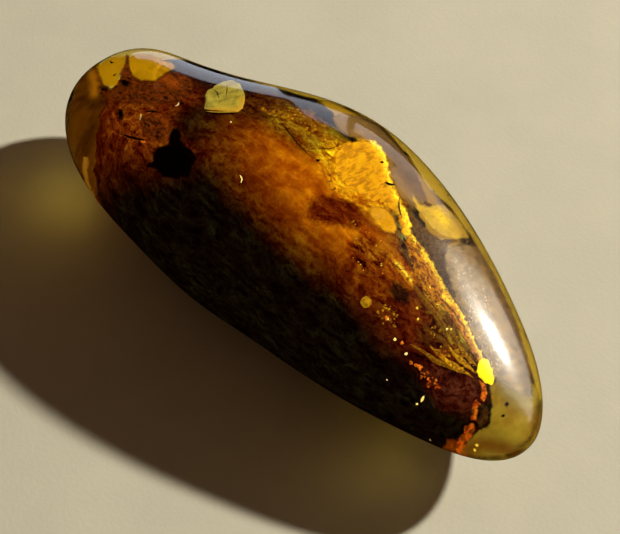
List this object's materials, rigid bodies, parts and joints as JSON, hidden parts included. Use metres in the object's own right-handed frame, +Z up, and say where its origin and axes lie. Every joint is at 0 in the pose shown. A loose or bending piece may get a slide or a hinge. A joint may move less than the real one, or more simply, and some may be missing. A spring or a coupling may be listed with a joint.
{
  "type": "amber piece",
  "caption": "Polished elongated piece of clear golden-brown amber with a dark layered mass of forest debris sealed inside it.",
  "frame": {"origin": "middle of the worn flat underside, on the surface that the piece rests on", "axes": "+X along the length towards the narrower clear end, +Z up, -Y towards the side that the picture shows nearer"},
  "size_m": [0.07, 0.0272, 0.0235],
  "materials": {
    "clear_amber": "clear golden-brown amber, hand polished",
    "dark_debris": "dark red-brown wood and bark crumbs, sealed in the amber"
  },
  "bodies": {
    "root": {"amber_upper": "clear_amber", "amber_lower": "clear_amber", "debris_mass": "dark_debris"}
  },
  "joints": []
}
